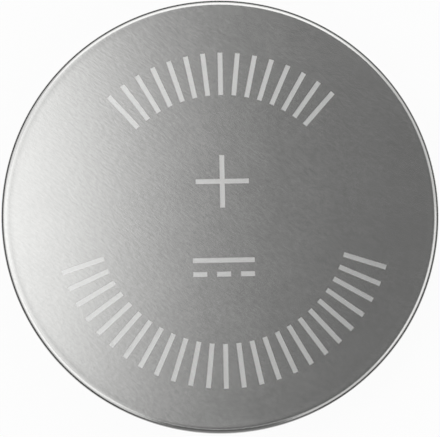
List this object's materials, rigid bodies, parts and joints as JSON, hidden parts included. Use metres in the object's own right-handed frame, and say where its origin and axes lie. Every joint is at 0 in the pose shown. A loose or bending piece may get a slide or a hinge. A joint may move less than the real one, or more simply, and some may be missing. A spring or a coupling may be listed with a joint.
{
  "type": "lithium coin cell",
  "caption": "Flat round rechargeable cell: a steel can rolled over a sealing ring and a stepped negative cap, with a stack of electrode plates, separators and tabs inside.",
  "frame": {"origin": "centre of the negative contact face, which the cell lies on", "axes": "+Z along the cell's axis, out of the positive face; +Y towards the top of the polarity sign"},
  "size_m": [0.03, 0.03, 0.0032],
  "materials": {
    "can_steel": "satin, with a fine diagonal grain",
    "cap_steel": "satin",
    "seal_plastic": "moulded, matte",
    "tab_aluminium": "rolled foil",
    "tab_copper": "rolled copper foil",
    "insulating_film": "smooth amber film",
    "cathode_coating": "pressed powder coating",
    "anode_coating": "pressed graphite coating",
    "separator_film": "microporous film"
  },
  "bodies": {
    "root": {"positive_can": "can_steel", "negative_cap": "cap_steel", "seal_ring": "seal_plastic", "positive_tab": "tab_aluminium", "negative_tab": "tab_copper", "upper_film": "insulating_film", "lower_film": "insulating_film", "cathode_plate_1": "cathode_coating", "cathode_plate_2": "cathode_coating", "cathode_plate_3": "cathode_coating", "cathode_plate_4": "cathode_coating", "cathode_plate_5": "cathode_coating", "anode_plate_1": "anode_coating", "anode_plate_2": "anode_coating", "anode_plate_3": "anode_coating", "anode_plate_4": "anode_coating", "anode_plate_5": "anode_coating", "anode_plate_6": "anode_coating", "separator_1": "separator_film", "separator_2": "separator_film", "separator_3": "separator_film", "separator_4": "separator_film", "separator_5": "separator_film", "separator_6": "separator_film", "separator_7": "separator_film", "separator_8": "separator_film", "separator_9": "separator_film", "separator_10": "separator_film"}
  },
  "joints": []
}
